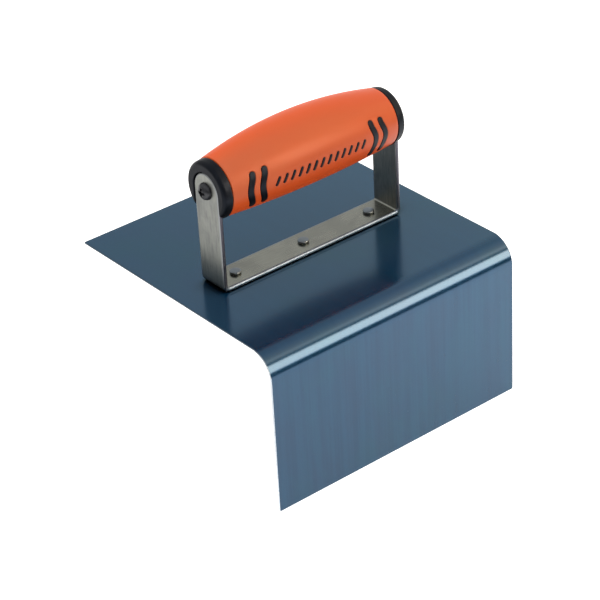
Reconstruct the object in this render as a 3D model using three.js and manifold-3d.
// Outside step edger for concrete: bent spring-steel blade, riveted U bracket, two-colour grip.
// Millimetres, +Z up. X runs along the blade and the handle; -Y is the front, where the flange is.
// Origin: middle of the flat underside of the top plate, the face that rides on the concrete.

import * as THREE from 'three';
import { mergeVertices } from 'three/addons/utils/BufferGeometryUtils.js';
import Module from 'manifold-3d';

// ---- shared dimensions ----------------------------------------------------------------------
const SHEET = 0.8;               // blade sheet thickness
const CLEAR = 0.3;               // clearance between neighbouring pieces
const CUT = 2;                   // how far a cutter runs past what it cuts

const HANDLE_Y = -12.3;          // centre line of bracket and handle
const AXIS_Z = 53.3;             // handle screw axis above the underside

const STRIP_W = 18.2;            // bracket strip width
const STRIP_T = 2.4;             // bracket strip thickness
const BRACKET_LEN = 112.0;       // outside of leg to outside of leg
const LEG_OUT = BRACKET_LEN / 2;
const LEG_IN = LEG_OUT - STRIP_T;

const RIVET_PITCH = 42.4;
const RIVETS = { left: -RIVET_PITCH, middle: 0, right: RIVET_PITCH };
const RIVET_SHANK_R = 1.9;
const RIVET_TAIL_R = 2.6;

const SCREW_SHANK_R = 2.4;       // M5
const INSERT_R = 4.0;
const INSERT_LEN = 12.0;

const SEAM_X = 51.2;             // where the soft grip meets the collars
const COLLAR_R = 15.0;           // collar radius near the seam
const CORE_R = 11.0;

const SMALL_SEGMENTS = 24;       // round holes, rivets and inserts
const SCREW_SEGMENTS = 32;
const HANDLE_SEGMENTS = 40;

const SIDES = { left: -1, right: 1 };   // sign of X
const SIGNS = [-1, 1];

const FINISH = {
  bluedSteel: { color: 0x3d5368, roughness: 0.35, metalness: 0.9 },
  bracketSteel: { color: 0x8c8f88, roughness: 0.4, metalness: 0.9 },
  rivetSteel: { color: 0x8a8d88, roughness: 0.4, metalness: 0.9 },
  hardPlastic: { color: 0x2a2d2e, roughness: 0.5, metalness: 0.0 },
  softGrip: { color: 0xe0602f, roughness: 0.55, metalness: 0.0 },
  brass: { color: 0xb08a45, roughness: 0.4, metalness: 0.9 },
  blackScrew: { color: 0x24262a, roughness: 0.4, metalness: 0.6 },
};

// ---- solids and meshes ----------------------------------------------------------------------
const wasm = await Module();
wasm.setup();

// closed three.js geometry -> solid, facing out whichever way its profile was drawn
function solid(geometry) {
  geometry.deleteAttribute('normal');
  geometry.deleteAttribute('uv');
  const merged = mergeVertices(geometry, 1e-5);
  const positions = merged.attributes.position.array;
  const index = merged.index.array;
  const triangles = [];
  const corners = [new THREE.Vector3(), new THREE.Vector3(), new THREE.Vector3()];
  let volume = 0;
  for (let i = 0; i < index.length; i += 3) {
    const triangle = [index[i], index[i + 1], index[i + 2]];
    if (new Set(triangle).size < 3) continue;
    triangles.push(...triangle);
    triangle.forEach((vertex, k) => corners[k].fromArray(positions, 3 * vertex));
    volume += corners[0].dot(corners[1].cross(corners[2]));
  }
  if (volume < 0) {
    for (let i = 0; i < triangles.length; i += 3) {
      [triangles[i], triangles[i + 1]] = [triangles[i + 1], triangles[i]];
    }
  }
  return new wasm.Manifold(new wasm.Mesh({
    numProp: 3,
    vertProperties: new Float32Array(positions),
    triVerts: new Uint32Array(triangles),
  }));
}

const group = new THREE.Group();
group.name = 'step_edger';

function add(name, manifold, finish) {
  const { vertProperties, triVerts } = manifold.getMesh();
  const geometry = new THREE.BufferGeometry();
  geometry.setAttribute('position', new THREE.BufferAttribute(new Float32Array(vertProperties), 3));
  geometry.setIndex(Array.from(triVerts));
  geometry.computeVertexNormals();
  const mesh = new THREE.Mesh(geometry, new THREE.MeshStandardMaterial(finish));
  mesh.name = name;
  group.add(mesh);
}

// ---- prisms: an outline of point pairs, drawn out along an axis -------------------------------
const TO_X = new THREE.Matrix4().makeBasis(
  new THREE.Vector3(0, 1, 0), new THREE.Vector3(0, 0, 1), new THREE.Vector3(1, 0, 0));
const TO_MINUS_Y = new THREE.Matrix4().makeBasis(
  new THREE.Vector3(1, 0, 0), new THREE.Vector3(0, 0, 1), new THREE.Vector3(0, -1, 0));
const TO_Z = new THREE.Matrix4();

function prism(outline, basis, from, to) {
  const shape = new THREE.Shape(outline.map(([u, v]) => new THREE.Vector2(u, v)));
  shape.closePath();
  const depth = Math.abs(to - from);
  const geometry = new THREE.ExtrudeGeometry(shape, { depth, bevelEnabled: false });
  geometry.translate(0, 0, Math.min(from, to));
  geometry.applyMatrix4(basis);
  return solid(geometry);
}

// outlines in (y, z), (x, z) and (x, y); the two ends may come in either order
const prismX = (outline, x0, x1) => prism(outline, TO_X, x0, x1);
const prismY = (outline, y0, y1) => prism(outline, TO_MINUS_Y, -y0, -y1);
const prismZ = (outline, z0, z1) => prism(outline, TO_Z, z0, z1);

// points along an arc, both ends included
function arc(centreU, centreV, radius, from, to, steps) {
  return Array.from({ length: steps + 1 }, (_, i) => {
    const angle = from + (to - from) * i / steps;
    return [centreU + radius * Math.cos(angle), centreV + radius * Math.sin(angle)];
  });
}

// ---- turned parts: a profile of [radius, place along the axis] pairs --------------------------
const LATHE_TO_X = new THREE.Matrix4().makeBasis(
  new THREE.Vector3(0, 0, 1), new THREE.Vector3(1, 0, 0), new THREE.Vector3(0, 1, 0));
const LATHE_TO_Z = new THREE.Matrix4().makeRotationX(Math.PI / 2);

function lathe(profile, segments, basis, centre) {
  const points = profile.map(([radius, along]) => new THREE.Vector2(radius, along));
  const geometry = new THREE.LatheGeometry(points, segments);
  geometry.applyMatrix4(basis);
  geometry.translate(...centre);
  return geometry;
}

// about the handle's screw axis
const latheX = (profile, segments) => lathe(profile, segments, LATHE_TO_X, [0, HANDLE_Y, AXIS_Z]);
const turnedX = (profile, segments) => solid(latheX(profile, segments));

// about the vertical axis of the rivet at x
const turnedZ = (profile, x) =>
  solid(lathe(profile, SMALL_SEGMENTS, LATHE_TO_Z, [x, HANDLE_Y, 0]));

const rodProfile = (radius, from, to) => [[0, from], [radius, from], [radius, to], [0, to]];
const rodZ = (radius, z0, z1, x) => turnedZ(rodProfile(radius, z0, z1), x);
const rodX = (radius, x0, x1, segments = SMALL_SEGMENTS) =>
  turnedX(rodProfile(radius, x0, x1), segments);

// a right-hand profile, or its mirror image on the left
const onSide = (side, profile) => profile.map(([radius, x]) => [radius, side * x]);

// ---- blade: top plate, half-inch bend, flange -------------------------------------------------
const BLADE_LENGTH = 152.4;      // 6 in along X
const BEND_R = 12.7;             // inner bend radius, 1/2 in
const BEND_STEPS = 12;
const FACE_DEPTH = 134.6;        // flat underside of the top plate, bend to back edge
const FLANGE_DROP = 85.4;        // underside of the top plate to the flange's lower edge
const BLADE_CORNER_R = 0.8;      // the four sheared corners, eased
const CORNER_STEPS = 6;
const HOLE_LIP = 0.05;           // straight lip of the countersink, at the underside
const HOLE_LAND = 0.15;          // straight top of the hole, above the countersink

const FACE_HALF = FACE_DEPTH / 2;
const FLANGE_INNER_Y = -(FACE_HALF + BEND_R);

// what is trimmed off outside a rounded corner at (u, v); the signs point outwards
function cornerOutline(u, v, signU, signV) {
  const centreU = u - signU * BLADE_CORNER_R;
  const centreV = v - signV * BLADE_CORNER_R;
  const points = [[u + signU * CUT, v + signV * CUT], [centreU, v + signV * CUT]];
  for (let i = 0; i <= CORNER_STEPS; i++) {
    const angle = (i / CORNER_STEPS) * Math.PI / 2;
    points.push([
      centreU + signU * BLADE_CORNER_R * Math.sin(angle),
      centreV + signV * BLADE_CORNER_R * Math.cos(angle),
    ]);
  }
  points.push([u + signU * CUT, centreV]);
  return points;
}

function bladeSolid() {
  const section = [
    [FACE_HALF, SHEET],
    ...arc(-FACE_HALF, -BEND_R, BEND_R + SHEET, Math.PI / 2, Math.PI, BEND_STEPS),
    [FLANGE_INNER_Y - SHEET, -FLANGE_DROP],
    [FLANGE_INNER_Y, -FLANGE_DROP],
    ...arc(-FACE_HALF, -BEND_R, BEND_R, Math.PI, Math.PI / 2, BEND_STEPS),
    [FACE_HALF, 0],
  ];
  const endX = BLADE_LENGTH / 2;
  let blade = prismX(section, -endX, endX);

  for (const side of SIGNS) {
    const back = cornerOutline(side * endX, FACE_HALF, side, 1);
    const lower = cornerOutline(side * endX, -FLANGE_DROP, side, -1);
    blade = blade.subtract(prismZ(back, -CUT, SHEET + CUT));
    blade = blade.subtract(prismY(lower, FLANGE_INNER_Y + CUT, FLANGE_INNER_Y - SHEET - CUT));
  }

  // rivet holes, countersunk from the underside
  const wideR = RIVET_TAIL_R + CLEAR;
  const narrowR = RIVET_SHANK_R + CLEAR;
  const hole = [
    [0, -CUT], [wideR, -CUT], [wideR, HOLE_LIP],
    [narrowR, SHEET - HOLE_LAND], [narrowR, SHEET + CUT], [0, SHEET + CUT],
  ];
  for (const x of Object.values(RIVETS)) blade = blade.subtract(turnedZ(hole, x));
  return blade;
}

// ---- bracket: one strip bent into a U, leg tops rounded ---------------------------------------
const BRACKET_OUTER_R = 3.4;
const BRACKET_INNER_R = 1.0;
const OUTER_BEND_STEPS = 8;
const INNER_BEND_STEPS = 5;
const LEG_TOP_STEPS = 20;

// (y, z) outline of a leg, round-topped about the screw axis
function legOutline(radius, bottomZ) {
  return [
    [HANDLE_Y - radius, bottomZ],
    [HANDLE_Y + radius, bottomZ],
    ...arc(HANDLE_Y, AXIS_Z, radius, 0, Math.PI, LEG_TOP_STEPS),
  ];
}

function bracketSolid() {
  const halfWidth = STRIP_W / 2;
  const top = AXIS_Z + halfWidth + CUT;
  const outerX = LEG_OUT - BRACKET_OUTER_R;
  const outerZ = SHEET + BRACKET_OUTER_R;
  const innerX = LEG_IN - BRACKET_INNER_R;
  const innerZ = SHEET + STRIP_T + BRACKET_INNER_R;
  const [left, down, right] = [Math.PI, 1.5 * Math.PI, 2 * Math.PI];
  const uOutline = [
    [-LEG_OUT, top],
    ...arc(-outerX, outerZ, BRACKET_OUTER_R, left, down, OUTER_BEND_STEPS),
    ...arc(outerX, outerZ, BRACKET_OUTER_R, down, right, OUTER_BEND_STEPS),
    [LEG_OUT, top],
    [LEG_IN, top],
    ...arc(innerX, innerZ, BRACKET_INNER_R, right, down, INNER_BEND_STEPS),
    ...arc(-innerX, innerZ, BRACKET_INNER_R, down, left, INNER_BEND_STEPS),
    [-LEG_IN, top],
  ];
  const pastLeg = LEG_OUT + CUT;
  let bracket = prismY(uOutline, HANDLE_Y + halfWidth, HANDLE_Y - halfWidth);
  bracket = bracket.intersect(prismX(legOutline(halfWidth, SHEET - CUT), -pastLeg, pastLeg));
  for (const x of Object.values(RIVETS)) {
    const hole = rodZ(RIVET_SHANK_R + CLEAR, SHEET - CUT, SHEET + STRIP_T + CUT, x);
    bracket = bracket.subtract(hole);
  }
  return bracket.subtract(rodX(SCREW_SHANK_R + CLEAR, -pastLeg, pastLeg));
}

// ---- rivets -----------------------------------------------------------------------------------
const RIVET_HEAD_R = 2.85;
const RIVET_TAIL_RECESS = 0.05;  // spun flush, a hair above the underside
const RIVET_FLARE_GAP = 0.1;     // tail flare ends this far below the sheet's top

// head: fraction of the head radius, height above the bracket strip
const RIVET_HEAD = [
  [1, 0], [1, 0.95], [0.97, 1.2], [0.86, 1.4], [0.6, 1.5], [0.3, 1.53], [0, 1.55],
];

function rivetSolid(x) {
  const seat = SHEET + STRIP_T;
  return turnedZ([
    [0, RIVET_TAIL_RECESS],
    [RIVET_TAIL_R, RIVET_TAIL_RECESS],
    [RIVET_SHANK_R, SHEET - RIVET_FLARE_GAP],
    [RIVET_SHANK_R, seat],
    ...RIVET_HEAD.map(([fraction, height]) => [RIVET_HEAD_R * fraction, seat + height]),
  ], x);
}

// ---- grip envelope: round sections, swollen and lifted in the middle --------------------------
const GRIP_R_END = COLLAR_R;     // grip radius at the collars
const GRIP_R_MID = 18.8;         // and in the middle
const GRIP_RISE_END = 0.3;       // section centre above the screw axis, at the collars
const GRIP_RISE_MID = 2.6;       // and in the middle: the palm swell is on top
const GRIP_RINGS = 14;

// parabola along the handle, from its value in the middle to its value at the seams
const swell = (middle, end, x) => middle + (end - middle) * (x / SEAM_X) ** 2;

function gripEnvelope() {
  const endX = SEAM_X - CLEAR;
  const profile = [[0, -endX]];
  for (let i = 0; i <= GRIP_RINGS; i++) {
    const x = -endX + (2 * endX * i) / GRIP_RINGS;
    profile.push([swell(GRIP_R_MID, GRIP_R_END, x), x]);
  }
  profile.push([0, endX]);
  const geometry = latheX(profile, HANDLE_SEGMENTS);
  const { position } = geometry.attributes;
  for (let i = 0; i < position.count; i++) {
    const rise = swell(GRIP_RISE_MID, GRIP_RISE_END, position.getX(i));
    position.setZ(i, position.getZ(i) + rise);
  }
  return solid(geometry);
}

// ---- curved bars: round-ended strips that bow away from the handle's middle -------------------
const BAR_X = [35.0, 41.7];      // middle of each bar from the handle's middle
const BAR_W = 3.3;
const BAR_HALF_H = 9.6;
const BAR_BOW = 3.0;             // how far a bar's ends lean back to the handle's middle
const BAR_Z = AXIS_Z + 0.1;
const BAR_ROOT = 5;              // from the screw axis, inside the core
const BAR_REACH = 26;            // from the screw axis, outside the grip
const BAR_STEPS = 8;             // per half length
const BAR_CAP_STEPS = 6;

// (x, z) outline, widened by grow all round
function barOutline(side, middleX, grow) {
  const halfWidth = BAR_W / 2 + grow;
  const halfSpan = BAR_HALF_H - BAR_W / 2;
  // t runs -1 to 1 up the bar's centre curve; turn is measured from the curve's +X normal
  const edgePoint = (t, turn) => {
    const slopeX = -2 * side * BAR_BOW * t;
    const angle = Math.atan2(-slopeX, halfSpan) + turn;
    return [
      side * (middleX - BAR_BOW * t * t) + halfWidth * Math.cos(angle),
      BAR_Z + halfSpan * t + halfWidth * Math.sin(angle),
    ];
  };
  // up one edge and over the top cap, then down the other and round the bottom cap
  const points = [];
  for (const [direction, turn] of [[1, 0], [-1, Math.PI]]) {
    for (let i = -BAR_STEPS; i <= BAR_STEPS; i++) {
      points.push(edgePoint(direction * i / BAR_STEPS, turn));
    }
    for (let i = 1; i < BAR_CAP_STEPS; i++) {
      points.push(edgePoint(direction, turn + (i / BAR_CAP_STEPS) * Math.PI));
    }
  }
  return points;
}

// all the bars, front and back, left long outwards
function curvedBars(grow) {
  const bars = [];
  for (const side of SIGNS) {
    for (const middleX of BAR_X) {
      const outline = barOutline(side, middleX, grow);
      for (const face of SIGNS) {
        bars.push(prismY(outline, HANDLE_Y + face * BAR_ROOT, HANDLE_Y + face * BAR_REACH));
      }
    }
  }
  return bars;
}

// ---- handle core: tube, end collars with pockets for the legs, curved bars --------------------
const COLLAR_END_X = 56.3;       // collar rim, a little proud of the leg
const COLLAR_RIM_R = 14.6;       // collar radius at its outer rim: it tapers a little
const COLLAR_EDGE_R = 2.0;
const COLLAR_EDGE_STEPS = 4;
const BORE_R = 3.2;              // bore through the core

// collar surface by the seam: inset from COLLAR_R, distance outwards from the seam
const COLLAR_SHOULDER = [[0.1, 0], [0, 0.6], [0.12, 1.8]];

function handleCoreSolid() {
  const right = [
    [CORE_R, SEAM_X],
    ...COLLAR_SHOULDER.map(([inset, past]) => [COLLAR_R - inset, SEAM_X + past]),
    ...arc(COLLAR_RIM_R - COLLAR_EDGE_R, COLLAR_END_X - COLLAR_EDGE_R, COLLAR_EDGE_R,
      0, Math.PI / 2, COLLAR_EDGE_STEPS),
    [0, COLLAR_END_X],
  ];
  const left = onSide(-1, right).reverse();
  let core = turnedX([...left, ...right], HANDLE_SEGMENTS);

  // the bars end flush with the grip's surface
  const envelope = gripEnvelope();
  for (const bar of curvedBars(0)) core = core.add(bar.intersect(envelope));

  // pockets that hold the leg ends, open at the bottom
  const pocket = legOutline(STRIP_W / 2 + CLEAR, AXIS_Z - COLLAR_R - CUT);
  for (const side of SIGNS) {
    core = core.subtract(prismX(pocket, side * LEG_IN, side * (COLLAR_END_X + CUT)));
  }
  core = core.subtract(rodX(BORE_R, -COLLAR_END_X, COLLAR_END_X));

  // seats for the inserts
  const seatX = LEG_IN - INSERT_LEN - CLEAR;
  for (const side of SIGNS) {
    core = core.subtract(rodX(INSERT_R + CLEAR, side * seatX, side * (LEG_IN + CUT)));
  }
  return core;
}

// ---- soft grip sleeve, over the core and around the bars --------------------------------------
function gripSleeveSolid() {
  let sleeve = gripEnvelope();
  sleeve = sleeve.subtract(rodX(CORE_R + CLEAR, -SEAM_X, SEAM_X, HANDLE_SEGMENTS));
  for (const bar of curvedBars(CLEAR)) sleeve = sleeve.subtract(bar);
  return sleeve;
}

// ---- threaded inserts, each with a groove round its middle ------------------------------------
const GROOVE_DEPTH = 0.6;
const GROOVE_HALF_W = 1.5;       // at the surface; the floor is half as wide

function insertSolid(side) {
  const innerX = LEG_IN - INSERT_LEN;
  const outerX = LEG_IN - CLEAR;
  const middleX = LEG_IN - INSERT_LEN / 2;
  const floorR = INSERT_R - GROOVE_DEPTH;
  const body = turnedX(onSide(side, [
    [0, innerX],
    [INSERT_R, innerX],
    [INSERT_R, middleX - GROOVE_HALF_W],
    [floorR, middleX - GROOVE_HALF_W / 2],
    [floorR, middleX + GROOVE_HALF_W / 2],
    [INSERT_R, middleX + GROOVE_HALF_W],
    [INSERT_R, outerX],
    [0, outerX],
  ]), SMALL_SEGMENTS);
  const hole = rodX(SCREW_SHANK_R + CLEAR, side * (innerX - CUT), side * (LEG_IN + CUT));
  return body.subtract(hole);
}

// ---- button-head screws -----------------------------------------------------------------------
const SCREW_HEAD_R = 4.5;
const SCREW_HEAD_H = 3.2;
const SCREW_RIM_H = 0.45;        // straight rim under the dome
const SCREW_DOME_STEPS = 6;
const SCREW_REACH = 10.0;        // length of shank beyond the leg's inner face
const SCREW_TIP_INSET = 0.5;     // tapered tip: radius lost
const SCREW_TIP_LEN = 0.6;       // and length
const DRIVE_W = 1.1;             // cross recess arm width
const DRIVE_SPAN = 4.6;          // cross recess across
const DRIVE_DEPTH = 1.8;

function screwSolid(side) {
  const tipX = LEG_IN - SCREW_REACH;
  const rimX = LEG_OUT + SCREW_RIM_H;
  const headX = LEG_OUT + SCREW_HEAD_H;
  const profile = [
    [0, tipX],
    [SCREW_SHANK_R - SCREW_TIP_INSET, tipX],
    [SCREW_SHANK_R, tipX + SCREW_TIP_LEN],
    [SCREW_SHANK_R, LEG_OUT],
    [SCREW_HEAD_R, LEG_OUT],
  ];
  for (let i = 0; i < SCREW_DOME_STEPS; i++) {
    const angle = (i / SCREW_DOME_STEPS) * Math.PI / 2;
    profile.push([SCREW_HEAD_R * Math.cos(angle), rimX + (headX - rimX) * Math.sin(angle)]);
  }
  profile.push([0, headX]);
  let screw = turnedX(onSide(side, profile), SCREW_SEGMENTS);

  for (const [width, height] of [[DRIVE_W, DRIVE_SPAN], [DRIVE_SPAN, DRIVE_W]]) {
    const arm = new THREE.BoxGeometry(DRIVE_DEPTH + CUT, width, height);
    arm.translate(side * (headX + (CUT - DRIVE_DEPTH) / 2), HANDLE_Y, AXIS_Z);
    screw = screw.subtract(solid(arm));
  }
  return screw;
}

// ---- assembly ---------------------------------------------------------------------------------
add('blade', bladeSolid(), FINISH.bluedSteel);
add('bracket', bracketSolid(), FINISH.bracketSteel);
for (const [place, x] of Object.entries(RIVETS)) {
  add(`rivet_${place}`, rivetSolid(x), FINISH.rivetSteel);
}
add('handle_core', handleCoreSolid(), FINISH.hardPlastic);
add('grip_sleeve', gripSleeveSolid(), FINISH.softGrip);
for (const [place, side] of Object.entries(SIDES)) {
  add(`insert_${place}`, insertSolid(side), FINISH.brass);
}
for (const [place, side] of Object.entries(SIDES)) {
  add(`screw_${place}`, screwSolid(side), FINISH.blackScrew);
}

export default group;
